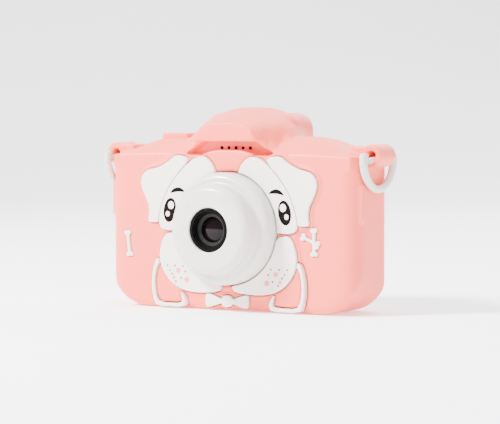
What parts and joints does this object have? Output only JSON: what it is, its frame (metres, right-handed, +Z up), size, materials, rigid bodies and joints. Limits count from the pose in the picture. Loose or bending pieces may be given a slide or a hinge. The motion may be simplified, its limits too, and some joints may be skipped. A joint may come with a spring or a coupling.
{
  "type": "kids digital camera",
  "caption": "Child's toy camera in a soft pink silicone sleeve with a puppy face around the lens, hanging strap rings, top shutter button and a rear screen with keys.",
  "frame": {"origin": "middle of the flat bottom face, halfway across and halfway through the sleeve", "axes": "+Z up, the lens looks along -Y, +X is on the right of someone who looks at the front"},
  "size_m": [0.1162, 0.0444, 0.0737],
  "materials": {
    "pink_silicone": "soft satin silicone",
    "white_silicone": "soft satin silicone",
    "pink_plastic": "moulded ABS, light gloss",
    "white_plastic": "moulded ABS, satin",
    "black_plastic": "moulded ABS, matt",
    "dark_glass": "clear cover over a dark lens or display",
    "circuit_board": "green solder mask",
    "key_rubber": "silicone dome sheet",
    "plated_metal": "nickel-plated steel"
  },
  "bodies": {
    "camera": {"battery": "plated_metal", "bow_tie": "white_silicone", "camera_board": "circuit_board", "card_holder": "plated_metal", "charging_socket": "plated_metal", "crossed_bones": "white_silicone", "display_panel": "black_plastic", "display_window": "dark_glass", "front_camera_lens": "dark_glass", "front_camera_module": "black_plastic", "front_shell": "pink_plastic", "key_mat": "key_rubber", "left_ear_patch": "white_silicone", "left_eye_patch": "white_silicone", "left_jowl": "white_silicone", "left_leg_outline": "white_silicone", "lens_base_ring": "white_plastic", "lens_nose": "white_plastic", "lens_trim_ring": "black_plastic", "lens_window": "dark_glass", "main_circuit_board": "circuit_board", "microphone": "plated_metal", "rear_camera_module": "black_plastic", "rear_camera_window": "dark_glass", "rear_shell": "pink_plastic", "right_ear_patch": "white_silicone", "right_eye_patch": "white_silicone", "right_jowl": "white_silicone", "right_leg_outline": "white_silicone", "screw_1": "plated_metal", "screw_2": "plated_metal", "screw_3": "plated_metal", "screw_4": "plated_metal", "shutter_switch": "black_plastic", "silicone_sleeve": "pink_silicone", "single_bone": "white_silicone", "speaker": "black_plastic"},
    "shutter": {"shutter_button": "pink_silicone"},
    "left_ring": {"left_strap_ring": "white_plastic"},
    "right_ring": {"right_strap_ring": "white_plastic"},
    "card": {"memory_card": "black_plastic"},
    "down_key_body": {"down_key": "white_plastic"},
    "left_key_body": {"left_key": "white_plastic"},
    "menu_key_body": {"menu_key": "white_plastic"},
    "ok_key_body": {"ok_key": "white_plastic"},
    "playback_key_body": {"playback_key": "white_plastic"},
    "power_key_body": {"power_key": "white_plastic"},
    "right_key_body": {"right_key": "white_plastic"},
    "up_key_body": {"up_key": "white_plastic"}
  },
  "joints": [
    {"name": "shutter_press", "type": "slide", "parent": "camera", "child": "shutter", "axis": [0, 0, -1], "range_m": [0, 0.0008], "stiffness_N_per_m": 400},
    {"name": "left_ring_swing", "type": "hinge", "parent": "camera", "child": "left_ring", "pos_m": [-0.054, 0, 0.0565], "axis": [0, 1, 0], "range_deg": [0, 180]},
    {"name": "right_ring_swing", "type": "hinge", "parent": "camera", "child": "right_ring", "pos_m": [0.054, 0, 0.0565], "axis": [0, -1, 0], "range_deg": [0, 180]},
    {"name": "card_slide", "type": "slide", "parent": "camera", "child": "card", "axis": [0, 0, -1], "range_m": [0, 0.014]},
    {"name": "down_key_press", "type": "slide", "parent": "camera", "child": "down_key_body", "axis": [0, -1, 0], "range_m": [0, 0.0006], "stiffness_N_per_m": 400},
    {"name": "left_key_press", "type": "slide", "parent": "camera", "child": "left_key_body", "axis": [0, -1, 0], "range_m": [0, 0.0006], "stiffness_N_per_m": 400},
    {"name": "menu_key_press", "type": "slide", "parent": "camera", "child": "menu_key_body", "axis": [0, -1, 0], "range_m": [0, 0.0006], "stiffness_N_per_m": 400},
    {"name": "ok_key_press", "type": "slide", "parent": "camera", "child": "ok_key_body", "axis": [0, -1, 0], "range_m": [0, 0.0006], "stiffness_N_per_m": 400},
    {"name": "playback_key_press", "type": "slide", "parent": "camera", "child": "playback_key_body", "axis": [0, -1, 0], "range_m": [0, 0.0006], "stiffness_N_per_m": 400},
    {"name": "power_key_press", "type": "slide", "parent": "camera", "child": "power_key_body", "axis": [0, -1, 0], "range_m": [0, 0.0006], "stiffness_N_per_m": 400},
    {"name": "right_key_press", "type": "slide", "parent": "camera", "child": "right_key_body", "axis": [0, -1, 0], "range_m": [0, 0.0006], "stiffness_N_per_m": 400},
    {"name": "up_key_press", "type": "slide", "parent": "camera", "child": "up_key_body", "axis": [0, -1, 0], "range_m": [0, 0.0006], "stiffness_N_per_m": 400}
  ]
}
